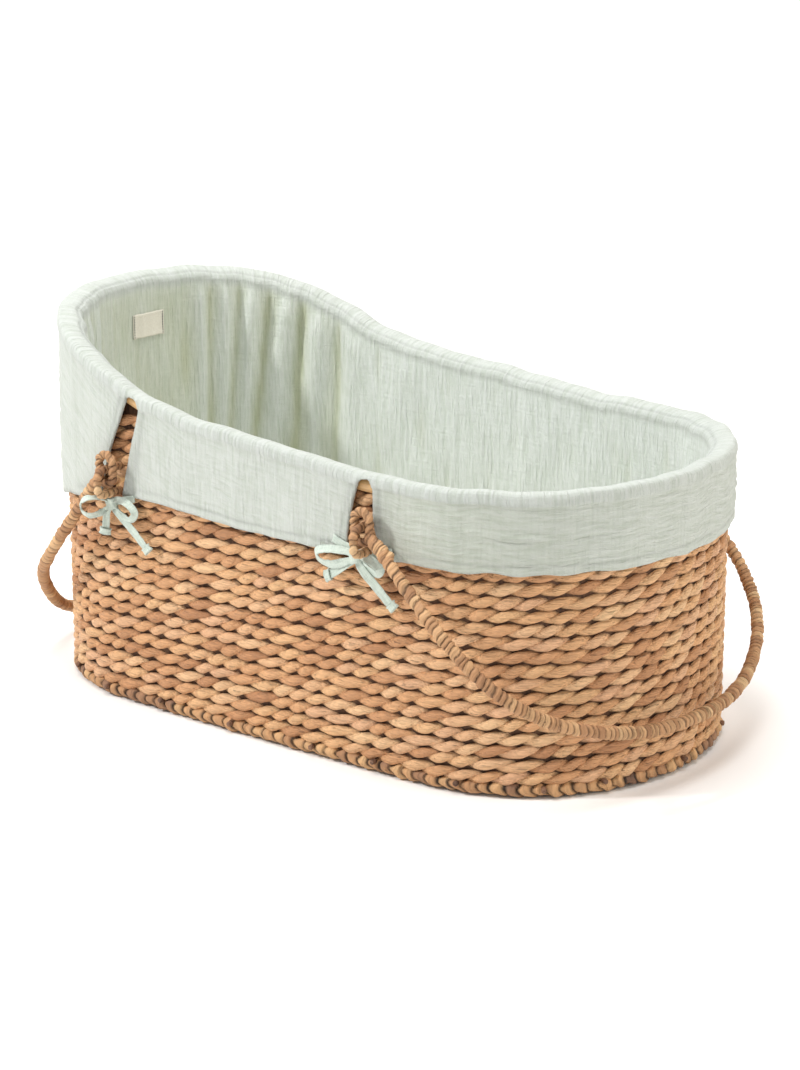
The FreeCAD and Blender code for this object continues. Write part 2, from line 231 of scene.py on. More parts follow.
class Builder:
    """Collects grids of points, faces and named values into one mesh."""

    def __init__(self):
        self.points, self.groups, self.values, self.count = [], [], {}, 0

    def add(self, points, faces, **values):
        points = points.reshape(-1, 3)
        self.points.append(points)
        for group in faces:
            self.groups.append(np.asarray(group) + self.count)
        for name, value in values.items():
            value = np.asarray(value, dtype=float)
            width = 3 if value.size == 3 * len(points) else 1
            value = value.reshape(-1, width) if value.size > 1 else np.full((len(points), 1), float(value))
            self.values.setdefault(name, []).append(value)
        self.count += len(points)

    def build(self, name, material, body, slot, replaced, smooth=True):
        """Makes the mesh a piece of the model that stands for the replaced CAD nodes."""
        mesh = bpy.data.meshes.new(name)
        points = np.concatenate(self.points)
        sizes = np.concatenate([np.full(len(group), group.shape[1]) for group in self.groups])
        corners = np.concatenate([group.ravel() for group in self.groups])
        mesh.vertices.add(len(points))
        mesh.vertices.foreach_set("co", points.ravel())
        mesh.loops.add(len(corners))
        mesh.loops.foreach_set("vertex_index", corners.astype(np.int32))
        mesh.polygons.add(len(sizes))
        mesh.polygons.foreach_set("loop_start", (np.cumsum(sizes) - sizes).astype(np.int32))
        mesh.polygons.foreach_set("use_smooth", np.full(len(sizes), smooth))
        mesh.update(calc_edges=True)
        mesh.validate()
        for key, parts in self.values.items():
            data = np.concatenate(parts)
            vector = data.shape[1] == 3
            attribute = mesh.attributes.new(key, "FLOAT_VECTOR" if vector else "FLOAT", "POINT")
            attribute.data.foreach_set("vector" if vector else "value", data.ravel())
        obj = linked(name, mesh)
        mesh.materials.append(material)
        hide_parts(*replaced)
        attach(obj, body)
        return obj


def thicken(piece, name, thickness, offset):
    modifier = piece.modifiers.new(name, "SOLIDIFY")
    modifier.thickness = thickness
    modifier.offset = offset


# ---- materials ----------------------------------------------------------------------------

def feed(tree, node, inputs):
    """Sets a node's inputs to values, or wires them to sockets."""
    for key, value in inputs.items():
        if isinstance(value, bpy.types.NodeSocket):
            tree.links.new(value, node.inputs[key])
        else:
            node.inputs[key].default_value = value


def add_node(tree, kind, inputs=None, **settings):
    """A shader node with its settings and inputs."""
    node = tree.nodes.new("ShaderNode" + kind)
    for key, value in settings.items():
        setattr(node, key, value)
    feed(tree, node, inputs or {})
    return node


def new_material(name):
    material = bpy.data.materials.new(name)
    material.use_nodes = True
    tree = material.node_tree
    return material, tree, tree.nodes["Principled BSDF"]


def attribute(tree, name, output="Fac"):
    return add_node(tree, "Attribute", attribute_name=name).outputs[output]


def own_space(tree):
    return add_node(tree, "TexCoord").outputs["Object"]


def waves(tree, vector, lengths, share=1.0):
    """The vector scaled so that one unit is each of the lengths, times the share."""
    scale = tuple(share / length for length in lengths)
    return scaled(tree, vector, scale)


def scaled(tree, vector, scale):
    return add_node(tree, "Mapping", {"Vector": vector, "Scale": scale}).outputs[0]


def noise(tree, vector, scale=1.0, detail=3.0, roughness=0.55):
    inputs = {"Vector": vector, "Scale": scale, "Detail": detail, "Roughness": roughness}
    return add_node(tree, "TexNoise", inputs).outputs["Fac"]


def ramp(tree, value, stops):
    """A colour ramp. stops are (position, colour) pairs."""
    node = add_node(tree, "ValToRGB", {"Fac": value})
    elements = node.color_ramp.elements
    while len(elements) < len(stops):
        elements.new(0.5)
    for element, (position, colour) in zip(elements, stops):
        element.position = position
        element.color = (*colour, 1.0)
    return node.outputs[0]


def cells(tree, vector, scale):
    return add_node(tree, "TexVoronoi", {"Vector": vector, "Scale": scale}).outputs["Distance"]


def remap(tree, value, low, high, to_low, to_high):
    inputs = {"Value": value, "From Min": low, "From Max": high, "To Min": to_low, "To Max": to_high}
    return add_node(tree, "MapRange", inputs).outputs[0]


def blend(tree, how, amount, first, second):
    node = add_node(tree, "Mix", data_type="RGBA", blend_type=how)
    feed(tree, node, {0: amount, 6: first, 7: second})
    return node.outputs[2]


def times(tree, first, second):
    return blend(tree, "MULTIPLY", 1.0, first, second)


def calc(tree, how, first, second):
    return add_node(tree, "Math", {0: first, 1: second}, operation=how).outputs[0]


def bump(tree, height, distance, strength):
    return add_node(tree, "Bump", {"Height": height, "Distance": distance, "Strength": strength}).outputs[0]


def strand_material(name, stops, streak_wave, dark, painted_gap_shade):
    """Dried plant strand: a colour for each strand, streaks along it, and painted shade that darkens the gaps
    between strands.
    """
    material, tree, shader = new_material(name)
    place = attribute(tree, "strand", "Vector")
    streaks = noise(tree, waves(tree, place, streak_wave), detail=4)
    creases = noise(tree, waves(tree, place, streak_wave, 0.50), detail=2)
    blotches = noise(tree, place, scale=55.0, detail=2)
    colour = ramp(tree, attribute(tree, "tint"), stops)
    colour = times(tree, colour, remap(tree, streaks, 0.30, 0.70, 0.82, 1.20))
    stain = remap(tree, blotches, 0.56, 0.76, 0.0, 0.30)
    colour = blend(tree, "MIX", stain, colour, (*dark, 1.0))
    # Darker lengthwise creases, which also sink in the bump: partly the strand's grain, partly painted shade
    # in their valleys.
    colour = times(tree, colour, remap(tree, creases, 0.28, 0.36, 0.62, 1.0))
    # Painted shade in the gaps between strands, from the per-point shade value down to the given gap
    # darkness.
    colour = times(tree, colour, remap(tree, attribute(tree, "tone"), 0.0, 1.0, painted_gap_shade, 1.0))
    ridges = calc(tree, "ADD", streaks, calc(tree, "MULTIPLY", creases, 3.0))
    feed(tree, shader, {"Base Color": colour, "Roughness": remap(tree, streaks, 0.3, 0.7, 0.52, 0.74),
                        "Normal": bump(tree, ridges, 0.0017, 0.85), "Specular IOR Level": 0.35})
    return material


def cloth_material(name, colour, crinkle_shade, fold_wave, cross_wave, height):
    """Crinkled double gauze: long crinkles one way, fainter ones across, and its fine weave, with painted
    shade in the crinkles' valleys and painted olive shade in hollows.
    """
    material, tree, shader = new_material(name)
    place = attribute(tree, "cloth", "Vector")
    crinkle = noise(tree, waves(tree, place, fold_wave), detail=4, roughness=0.6)
    cross = noise(tree, waves(tree, place, cross_wave), detail=3)
    weave = noise(tree, scaled(tree, place, (1500, 1500, 1500)), detail=1)
    cross = calc(tree, "MULTIPLY", calc(tree, "SUBTRACT", cross, 0.5), attribute(tree, "cross"))
    upright = calc(tree, "SUBTRACT", 1.30, attribute(tree, "cross"))
    crinkle = calc(tree, "MULTIPLY", calc(tree, "SUBTRACT", crinkle, 0.5), upright)
    both = calc(tree, "ADD", crinkle, cross)
    # The darker colour fills the crinkles' valleys, as painted shade.
    amount = remap(tree, both, -0.16, 0.10, 0.0, 1.0)
    mixed = blend(tree, "MIX", amount, (*crinkle_shade, 1.0), (*colour, 1.0))
    mixed = times(tree, mixed, remap(tree, weave, 0.3, 0.7, 0.95, 1.04))
    # Per-point painted shade darkens the cloth, and painted olive shade goes into the hollows.
    mixed = times(tree, mixed, remap(tree, attribute(tree, "tone"), 0.0, 1.0, 0.55, 1.0))
    hollow = times(tree, mixed, (0.63, 0.63, 0.38, 1.0))
    mixed = blend(tree, "MIX", attribute(tree, "hollow"), mixed, hollow)
    lumps = calc(tree, "ADD", both, calc(tree, "MULTIPLY", weave, 0.12))
    feed(tree, shader, {"Base Color": mixed, "Roughness": remap(tree, crinkle, -0.2, 0.2, 0.98, 0.86),
                        "Normal": bump(tree, lumps, height, 0.9), "Specular IOR Level": 0.2,
                        "Sheen Weight": 0.25, "Sheen Roughness": 0.5})
    return material


def cane_material():
    """Smooth peeled cane, patchy and with fine grain, placed by the object's own space."""
    material, tree, shader = new_material("peeled_cane")
    place = own_space(tree)
    grain = noise(tree, scaled(tree, place, (60, 60, 420)), detail=4)
    patches = noise(tree, place, scale=22.0, detail=2)
    colour = ramp(tree, patches, [(0.3, (0.50, 0.27, 0.10)), (0.7, (0.72, 0.46, 0.21))])
    colour = times(tree, colour, remap(tree, grain, 0.3, 0.7, 0.85, 1.08))
    feed(tree, shader, {"Base Color": colour, "Roughness": remap(tree, grain, 0.3, 0.7, 0.32, 0.48),
                        "Normal": bump(tree, grain, 0.0004, 0.5)})
    return material


def grained_material(name, texture, low, high, roughness, depth=None):
    """A matt material that goes between two ramp stops with a texture, which may also raise it."""
    material, tree, shader = new_material(name)
    grain = texture(tree, own_space(tree))
    feed(tree, shader, {"Base Color": ramp(tree, grain, [low, high]), "Roughness": roughness})
    if depth:
        feed(tree, shader, {"Normal": bump(tree, grain, depth, 0.8)})
    return material


TAN_STOPS = [(0.0, (0.45, 0.22, 0.105)), (0.16, (0.58, 0.305, 0.15)), (0.38, (0.67, 0.375, 0.188)),
             (0.60, (0.71, 0.43, 0.222)), (0.80, (0.68, 0.395, 0.228)), (1.0, (0.76, 0.49, 0.268))]
ROPE_STOPS = [(0.0, (0.25, 0.125, 0.062)), (0.25, (0.37, 0.19, 0.092)), (0.55, (0.49, 0.27, 0.135)),
              (0.80, (0.59, 0.36, 0.185)), (1.0, (0.67, 0.45, 0.25))]
BORDER_STOPS = [(0.0, (0.09, 0.05, 0.035)), (0.18, (0.24, 0.13, 0.08)), (0.38, (0.44, 0.235, 0.115)),
                (0.65, (0.56, 0.32, 0.155)), (1.0, (0.66, 0.42, 0.21))]

# The last value is how dark the painted shade in the gaps gets.
WICKER = strand_material("hyacinth_weave", TAN_STOPS, (0.050, 0.0016, 0.0016), (0.40, 0.20, 0.11), 0.07)
BORDER = strand_material("hyacinth_border", BORDER_STOPS, (0.020, 0.0015, 0.0015), (0.20, 0.11, 0.07), 0.10)
WRAP = strand_material("hyacinth_wrap", ROPE_STOPS, (0.030, 0.0014, 0.0014), (0.24, 0.13, 0.08), 0.40)
# Each cloth's second colour is the painted shade in its crinkles' valleys.
MUSLIN = cloth_material("mint_muslin", (0.742, 0.785, 0.755), (0.635, 0.690, 0.630),
                        (0.0036, 0.0036, 0.034), (0.028, 0.028, 0.0034), 0.0042)
RIBBON = cloth_material("mint_ribbon", (0.60, 0.67, 0.60), (0.44, 0.52, 0.46),
                        (0.0012, 0.012, 0.0012), (0.010, 0.0012, 0.0012), 0.0003)
TICKING = cloth_material("white_cotton", (0.80, 0.80, 0.76), (0.68, 0.68, 0.64),
                         (0.030, 0.010, 0.030), (0.008, 0.040, 0.008), 0.0003)
TAPE = cloth_material("cream_tape", (0.78, 0.75, 0.66), (0.66, 0.62, 0.53),
                      (0.0007, 0.004, 0.0007), (0.004, 0.0007, 0.0007), 0.0002)
CANE = cane_material()
SHADOW = grained_material(
    "weave_shadow", lambda tree, place: noise(tree, scaled(tree, place, (300, 300, 60))),
    (0.3, (0.045, 0.022, 0.012)), (0.7, (0.13, 0.065, 0.035)), 0.9, 0.0008)
THREAD = grained_material("dark_thread", lambda tree, place: noise(tree, place, scale=1800.0),
                          (0.3, (0.02, 0.02, 0.02)), (0.7, (0.09, 0.09, 0.08)), 0.8)
FOAM = grained_material("foam", lambda tree, place: cells(tree, place, 700.0),
                        (0.1, (0.62, 0.58, 0.42)), (0.6, (0.86, 0.82, 0.66)), 0.95, 0.0006)
PALE = grained_material("pale_floor", lambda tree, place: noise(tree, place, scale=3.0),
                        (0.3, (0.94, 0.94, 0.94)), (0.7, (0.96, 0.96, 0.96)), 0.9)


# ---- twisted strands ----------------------------------------------------------------------

PLY_SIDES = 12
DRAWS = 4096


def twisted(builder, route, length, spec, seed, closed=True):
    """Adds strands that twist round each other. route(along) gives middle points, across and up."""
    rng = np.random.default_rng(seed)
    rings = max(8, round(length / spec["step"]))
    along = np.linspace(0, length, rings, endpoint=not closed)
    turns = max(1, round(length / spec["lead"])) if closed else length / spec["lead"]
    loose = spec["loose"] * ripple(seed, (0.16,), along * (PERIMETER / length if closed else 1.0))
    middle, across, up = route(along)
    around = circle(PLY_SIDES)[None, :]
    plies = spec["plies"]
    for ply in range(plies):
        turn = TAU * turns * along / length + loose + spec["phase"] + TAU * ply / plies
        segment = np.floor(turn / TAU + 0.5).astype(int) % DRAWS
        if closed:
            segment = segment % turns
        front = np.cos(turn)
        fat = rng.uniform(1 - spec["vary"], 1 + spec["vary"], DRAWS)[segment]
        half_up = (spec["half_up"] + spec["swell"] * front ** 2) * fat
        half_across = spec["half_across"] * (1.3 - 0.3 * fat)
        side = spec["swing_across"] * front
        lift = spec["swing_up"] * np.sin(turn)
        lump = 1 + 0.05 * ripple(seed + 7 + ply, (0.03, 2.2), along[:, None], around)
        local_across = side[:, None] + half_across[:, None] * np.cos(around) * lump
        local_up = lift[:, None] + half_up[:, None] * np.sin(around) * lump
        points = (middle[:, None, :] + across[:, None, :] * local_across[..., None]
                  + up[:, None, :] * local_up[..., None])
        reach = spec["swing_across"] + spec["half_across"]
        height = spec["swing_up"] + spec["half_up"]
        # Painted shade: darker where the ply turns in towards the wall and at its top and bottom edges, in
        # the gaps between plies and rows.
        tone = ease(-0.10 * reach, 0.42 * reach, local_across)
        tone = tone * (1 - 0.60 * ease(0.78 * height, 0.98 * height, np.abs(local_up)))
        tint = rng.uniform(0, 1, DRAWS)[segment]
        run = along[:, None] + (3.1 * ply + 0.7 * (seed % 89))
        strand = np.stack([np.broadcast_to(run, local_up.shape), local_across, local_up], -1)
        if closed:
            # The first ring comes again, so that the strand coordinate runs on to the end
            points, tone = np.concatenate([points, points[:1]]), np.concatenate([tone, tone[:1]])
            tint = np.append(tint, tint[0])
            strand = np.concatenate([strand, strand[:1] + (length, 0, 0)])
            faces = [grid_faces(rings + 1, PLY_SIDES, close_columns=True)]
        else:
            faces = tube_faces(rings, PLY_SIDES)
        builder.add(points, faces, tint=np.repeat(tint, PLY_SIDES), tone=tone, strand=strand)


WEAVE_ROW = 0.0145
WEAVE_SPEC = dict(plies=2, lead=0.054, step=0.0034, half_up=0.0048, swell=0.0015, half_across=0.0042,
                  swing_across=0.0034, swing_up=0.0030, loose=0.7, vary=0.10)
FIRST_ROW = 0.0205
BASE_ROW = 0.0134
POLE_LOW = 0.0245 + WEAVE_ROW / 2
BAND_ENDS = {"low": 6, "middle": 12, "upper": 18, "head": None}
# The shade sheet's two faces, and how far below the rim line it ends. The sheet is dark and stands for the
# shade seen between the rows.
SHADE_SHEET_OUTSIDE, SHADE_SHEET_INSIDE, SHADE_SHEET_DROP = -0.0062, -0.0078, 0.020


def weave_row(builder, row):
    """One row of the wall, all the way round or only where the rim is high enough."""
    level = FIRST_ROW + row * WEAVE_ROW
    spec = dict(WEAVE_SPEC, phase=row * math.pi / 2 + 0.9 * math.sin(row * 2.3))

    def route_from(start):
        def route(along):
            plan, out = on_oval(start + along, WALL_MIDDLE)
            wave = 0.0006 * ripple(900 + row, (0.25,), start + along)
            flat = np.zeros(len(along))
            return in_space(plan, level + wave), in_space(out, flat), in_space(0 * out, flat + 1)
        return route

    lowest_rim = min(rim for _, rim in RIM_LINE)
    if level + POLE_LOW <= lowest_rim:
        twisted(builder, route_from(0.0), PERIMETER, spec, 100 + row)
        return
    xs = np.linspace(-HALF_LENGTH, HALF_LENGTH, 801)
    inside = xs[rim_height(xs) - POLE_LOW > level]
    start = along_at(inside.max(), 1)
    twisted(builder, route_from(start), PERIMETER - 2 * start, spec, 100 + row, closed=False)


def build_weave():
    """The wall's rows in four bands, and a dark sheet behind them that paints the shade seen between them."""
    top = rim_height(-HALF_LENGTH) - POLE_LOW
    rows = math.ceil((top - FIRST_ROW) / WEAVE_ROW)
    row = 0
    for name, end in BAND_ENDS.items():
        builder = Builder()
        while row < (end or rows):
            weave_row(builder, row)
            row += 1
        builder.build("weave_" + name, WICKER, "basket", "wicker", ["wall_weave"])

    # A dark sheet behind the rows: painted shade for the gaps between them.
    shell = []
    for offset, tops in ((SHADE_SHEET_OUTSIDE, (False, True)), (SHADE_SHEET_INSIDE, (True, False))):
        plan, _ = on_oval(round_oval(240), offset)
        top = rim_height(plan[:, 0]) - SHADE_SHEET_DROP
        shell += [in_space(plan, top if at_top else BASE_TOP + 0.002) for at_top in tops]
    shade_sheet = Builder()
    shade_sheet.add(np.stack(shell), tube_faces(4, 240, closed=True))
    shade_sheet.build("weave_shade_sheet", SHADOW, "basket", "wicker", ["wall_weave"])


BORDER_MIDDLE, BORDER_RADIUS, BORDER_PITCH = -0.0062, 0.0072, 0.0150
BASE_ROW_LEVEL, SLAB_LEVEL = 0.0066, 0.0075
# Rings of a stake's end: how far out, and the radius
STAKE_END = ((-0.004, 0.0028), (0.0018, 0.0029), (0.0027, 0.0024), (0.0029, 0.0013))


def stake_ends(builder):
    """Short dark ends of the stakes, turned out over the bottom border."""
    rng = np.random.default_rng(61)
    count, sides = 22, 9
    for k in range(count):
        along = (k + rng.uniform(-0.25, 0.25)) * PERIMETER / count
        plan, out = on_oval(np.array([along]), rng.uniform(0.0005, 0.0025))
        middle = np.array([*plan[0], rng.uniform(0.010, 0.0145)])
        heading = unit(np.array([*out[0], rng.uniform(-0.5, 0.3)]))
        side = unit(np.cross(heading, (0, 0, 1)))
        spoke = spokes(circle(sides), side, np.cross(side, heading))
        points = np.stack([middle + heading * reach + spoke * radius * rng.uniform(0.92, 1.08, (sides, 1))
                           for reach, radius in STAKE_END])
        builder.add(points, tube_faces(len(STAKE_END), sides), tint=rng.uniform(0.02, 0.20), tone=1.0,
                    strand=points)


def build_base():
    """The border roll with the stake ends, and the base's woven rows under a dark slab that paints the shade
    seen between them.
    """
    border = Builder()
    low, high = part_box("base_border")
    height = (low[2] + high[2]) / 2
    along = round_oval(700)
    plan, _ = on_oval(along, BORDER_MIDDLE)
    middle = in_space(plan, height + 0.0004 * ripple(71, (0.05,), along))
    wrapped(border, middle, lambda t: BORDER_RADIUS + 0.0009 * ripple(72, (0.024,), t * PERIMETER),
            BORDER_PITCH, seed=41, closed=True, sides=18, step=0.0016, depth=0.34, contrast=0.26, tilt=0.45)
    stake_ends(border)
    border.build("base_border_roll", BORDER, "basket", "wicker", ["base_border"])

    floor = Builder()
    half = HALF_WIDTH - 0.016
    rows = int(half / BASE_ROW)
    table = np.linspace(0, PERIMETER / 2, 2001)
    edge, _ = on_oval(table, -0.013)
    for row in range(-rows, rows + 1):
        y = row * BASE_ROW
        reach = edge[:, 0][edge[:, 1] > abs(y)].max()

        def under(along, y=y, reach=reach):
            middle = np.stack([along - reach, 0 * along + y, 0 * along + BASE_ROW_LEVEL], -1)
            down, sideways = (np.tile(way, (len(along), 1)) for way in ([0.0, 0.0, -1.0], [0.0, 1.0, 0.0]))
            return middle, down, sideways

        spec = dict(WEAVE_SPEC, step=0.006, half_across=0.0024, swing_across=0.0020, phase=row * 1.7)
        twisted(floor, under, 2 * reach, spec, 500 + row, closed=False)
    floor.build("base_weave", WICKER, "basket", "wicker", ["base_panel"])

    # A dark slab over the base's rows: painted shade for the gaps between them.
    slab = Builder()
    plan, _ = on_oval(round_oval(180), -0.012)
    slab.add(np.stack([in_space(plan, SLAB_LEVEL), in_space(plan, BASE_TOP)]), tube_faces(2, 180))
    slab.build("base_shade_slab", SHADOW, "basket", "wicker", ["base_panel"], smooth=False)


# ---- wrapped cords ------------------------------------------------------------------------

WRAP_DRAWS = 2048


def resampled(points, step, closed=False):
    """Evenly spaced points along a polyline, and their lengths along it."""
    points = np.asarray(points, dtype=float)
    if closed:
        points = np.vstack([points, points[:1]])
    lengths = running_length(points)
    count = max(6, round(lengths[-1] / step)) + 1
    even = np.linspace(0, lengths[-1], count)
    result = np.stack([np.interp(even, lengths, points[:, axis]) for axis in range(3)], -1)
    return (result[:-1], even[:-1], lengths[-1]) if closed else (result, even, lengths[-1])


def carried_frames(points, start, closed=False):
    """Two directions across a path, carried along it without twisting."""
    tangents = steps_between(points, closed)
    first = np.zeros_like(points)
    side = np.array(start, dtype=float)
    for i, tangent in enumerate(tangents):
        side = unit(side - tangent * side.dot(tangent))
        first[i] = side
    return first, np.cross(tangents, first)


def wrapped(builder, points, radius, pitch, seed, start=(0, 0, 1), closed=False, sides=24,
            step=0.0011, depth=0.30, contrast=0.30, tilt=0.0):
    """Adds a cord bound with leaf: helical wraps with painted shade in the gaps between them."""
    points, lengths, total = resampled(points, step, closed)
    first, second = carried_frames(points, start, closed)
    radii = radius(lengths / total) if callable(radius) else np.full(len(points), radius)
    pitches = pitch(lengths / total) if callable(pitch) else np.full(len(points), pitch)
    pitches = pitches * (1 + 0.34 * ripple(seed + 9, (0.016,), lengths))
    turn = np.concatenate([[0], np.cumsum((1 / pitches)[:-1] * np.diff(lengths))])
    if closed:
        whole = total * turn[-1] / lengths[-1]
        turn = turn * round(whole) / whole
    rng = np.random.default_rng(seed)
    around = circle(sides)[None, :]
    wobble = 0.07 * ripple(seed + 3, (0.030, 2.5), lengths[:, None], around) + tilt * np.sin(around)
    phase = turn[:, None] - around / TAU + wobble + 4
    index = np.floor(phase).astype(int)
    within = phase - index
    table = np.clip(rng.normal(0.58, contrast, WRAP_DRAWS), 0, 1)
    fatness = rng.uniform(-1, 1, WRAP_DRAWS)[index % WRAP_DRAWS]
    ridge = 1 - np.abs(2 * within - 1) ** 2.0
    rise = -depth + depth * ridge + 0.08 * (within - 0.5) + 0.08 * fatness * ridge
    swell = 0.035 * ripple(seed + 5, (0.05, 2.0), lengths[:, None], around)
    reach = radii[:, None] * (1 + rise + swell)
    surface = points[:, None, :] + spokes(around[0], first, second) * reach[..., None]
    strand_at = index + around / TAU
    tint = np.interp(strand_at, np.arange(WRAP_DRAWS), table)
    strand = np.stack([strand_at * 0.05, within * 0.0055, 0 * within], -1)
    # Painted shade in the gaps between wraps, reaching a random way up each wrap.
    gap = rng.uniform(-0.50, 0.30, WRAP_DRAWS)[index % WRAP_DRAWS]
    builder.add(surface, tube_faces(len(points), sides, closed), tint=tint, tone=ease(gap, 0.72, ridge),
                strand=strand)


def mirrored(half):
    """A route from its near half, which ends on the middle plane."""
    return half + [(x, -y, z) for x, y, z in half[-2::-1]]


def spline_points(control_points):
    """Points along the NURBS spline with these control points."""
    curve = bpy.data.curves.new("route", "CURVE")
    curve.dimensions = "3D"
    spline = curve.splines.new("NURBS")
    spline.points.add(len(control_points) - 1)
    for point, place in zip(spline.points, control_points):
        point.co = (*place, 1.0)
    spline.order_u = 3
    spline.use_endpoint_u = True
    spline.resolution_u = 40
    obj = linked("route", curve)
    bpy.context.view_layer.update()
    mesh = bpy.data.meshes.new_from_object(obj)
    points = np.empty(len(mesh.vertices) * 3)
    mesh.vertices.foreach_get("co", points)
    bpy.data.objects.remove(obj)
    bpy.data.meshes.remove(mesh)
    bpy.data.curves.remove(curve)
    return points.reshape(-1, 3)


ARM_ANGLE = {"foot": 37.0, "head": 52.0}
EYE_Y = 0.234
EYE_BEND = 0.0096
EYE_HALF_STRAIGHT = 0.0069
EYE_RADIUS = RING_RADIUS = 1.08 * 0.0045
ARM_Y = 0.236
ARM_REACH = (0.0125, 0.046)
EYE_PITCH, WHIPPING_PITCH, RING_PITCH = 0.0078, 0.0088, 0.0076
# Shares of the way along the whipping, and its radii there
WHIPPING_RADII = ((0, 0.30, 0.62, 1.0), (0.0054, 0.0078, 0.0083, 0.0078))
RING_REACH = 0.248
RING_BEND = 0.009
RING_DROP = 0.028


def stadium(centre, bend, half_straight):
    """Points of an upright oval in the XZ plane."""
    turn = np.linspace(0, math.pi, 25)
    top = np.stack([bend * np.cos(turn), 0 * turn, bend * np.sin(turn) + half_straight], -1)
    return np.vstack([top, -top]) + np.array(centre)


def ring_path(x, side):
    """A staple from the wall out and back, between the heights the ring enters the wall at."""
    root, reach = side * (HALF_WIDTH - 0.010), side * RING_REACH
    quarter = np.linspace(0, math.pi / 2, 9)
    across, down = RING_BEND * (1 - np.sin(quarter)), RING_BEND * (1 - np.cos(quarter))
    staple = [(root, 0.0), *zip(reach - side * across, -down),
              *zip(reach - side * down, across - RING_DROP), (root, -RING_DROP)]
    return [(x, y, HINGE_HEIGHT + z) for y, z in staple]


def build_cord(name, body, node, points, radius, pitch, seed, **settings):
    cord = Builder()
    wrapped(cord, points, radius, pitch, seed, **settings)
    return cord.build(name, WRAP, body, "rope", [node])


def build_handle(end):
    """One rope handle, with the eye, the whipping and the ring of each of its ends."""
    outward, seed = (1, 11) if end == "foot" else (-1, 12)
    body = end + "_handle"
    control_points = mirrored(ROPE_HALF[end])
    path = spline_points(control_points)

    def pitch(t):
        return (0.0064 + 0.0034 * ease(0.20, 0.5, np.abs(t - 0.5))) * (1 + 0.22 * ripple(seed, (0.15,), t))

    piece = build_cord("rope_" + end, body, "handle_rope_" + end, path, 0.42 * ROPE_DIAMETER, pitch, seed,
                       contrast=0.22, depth=0.27)

    slope = math.radians(ARM_ANGLE[end])
    heading = np.array([outward * math.cos(slope), 0, -math.sin(slope)])
    for place, side in SIDES.items():
        tag = end + "_" + place
        eye = stadium((HINGE_X[end], side * EYE_Y, HINGE_HEIGHT), EYE_BEND, EYE_HALF_STRAIGHT)
        build_cord("eye_" + tag, body, "handle_eye_" + tag, eye, EYE_RADIUS, EYE_PITCH, 20 + len(tag),
                   start=(0, 1, 0), closed=True, sides=16, tilt=0.25)
        hinge = np.array([HINGE_X[end], side * ARM_Y, HINGE_HEIGHT])
        arm = [hinge + heading * reach for reach in np.linspace(*ARM_REACH, 12)]
        build_cord("whipping_" + tag, body, "handle_whipping_" + tag, arm,
                   lambda t: np.interp(t, *WHIPPING_RADII), WHIPPING_PITCH, 30 + len(tag),
                   start=(0, 1, 0), depth=0.24, contrast=0.26)
        build_cord("ring_" + tag, "basket", "anchor_ring_" + tag, ring_path(HINGE_X[end], side),
                   RING_RADIUS, RING_PITCH, 40 + len(tag), start=(1, 0, 0), sides=16, tilt=0.25)


# ---- liner --------------------------------------------------------------------------------

CAP_DROP = 0.014
CAP_CENTRE = (INNER_FACE + OUTER_FACE) / 2
CAP_HALF = (OUTER_FACE - INNER_FACE) / 2
CAP_GIRTH = 0.0145
LINER_SHEET = 0.0026
HEM = 0.009
COLUMN_STEP = 0.005
INNER_ROWS, CAP_ROWS, OUTER_ROWS = 50, 27, 30
SLOT_CAP_ANGLE = math.radians(38)
SEAM_ANGLE = math.radians(130)
SLOT_REACH = 0.055
SLOT_RIM, SLOT_HEM = 0.34, 0.239

# Slot edges: share of the way down, and the widths towards the head and the foot in millimetres
SLOT_SHAPES = {
    "foot": [(0.0, 0.0, 0.0), (0.02, 6.0, 5.0), (0.06, 10.0, 7.5), (0.12, 12.5, 8.5), (0.30, 16.5, 9.0),
             (0.55, 21.0, 9.0), (0.75, 24.0, 14.0), (1.0, 25.0, 36.0)],
    "head": [(0.0, 0.0, 0.0), (0.02, 4.5, 7.0), (0.06, 6.5, 11.0), (0.12, 7.5, 13.0), (0.30, 8.5, 14.0),
             (0.60, 13.0, 14.5), (1.0, 20.0, 15.0)],
}
# Where each slot's middle line is at its top and at the hem
SLOT_LINES = {"foot": (0.146, 0.146), "head": (-0.177, -0.212)}

# Folds of the inner wall: x and side of the basket, how far each stands in and its half width in
# millimetres, and its lean. Creases are narrow grooves, with the same values.
INNER_FOLDS = [(-0.378, 1, 6.0, 8, 0.00), (-0.362, 1, 8.0, 8, 0.04), (-0.341, 1, 10.0, 9, 0.10),
               (-0.306, 1, 10.0, 12, 0.14), (-0.258, 1, 9.0, 13, 0.05), (-0.205, 1, 6.0, 12, 0.03),
               (-0.135, 1, 3.0, 20, 0.00), (0.060, 1, 2.0, 25, 0.02), (0.300, 1, 3.0, 20, 0.00),
               (-0.384, -1, 6.0, 9, 0.02), (-0.368, -1, 8.0, 9, 0.03), (-0.335, -1, 8.0, 12, 0.04),
               (-0.260, -1, 6.5, 14, 0.03), (-0.120, -1, 2.5, 20, 0.00),
               (0.120, -1, 2.0, 25, 0.00), (0.310, -1, 3.0, 20, 0.00)]
INNER_CREASES = [(-0.372, 1, 2.5, 4, 0.02), (-0.353, 1, 3.0, 4, 0.08), (-0.326, 1, 5.0, 4, 0.12),
                 (-0.284, 1, 6.5, 5, 0.08), (-0.230, 1, 4.5, 5, 0.04), (-0.168, 1, 2.0, 5, 0.00),
                 (-0.355, -1, 3.5, 5, 0.02), (-0.300, -1, 4.5, 5, 0.02), (-0.200, -1, 2.0, 6, 0.00)]


def short_way(along):
    """A difference of arc lengths, taken the shorter way round the oval."""
    return np.mod(along + PERIMETER / 2, PERIMETER) - PERIMETER / 2


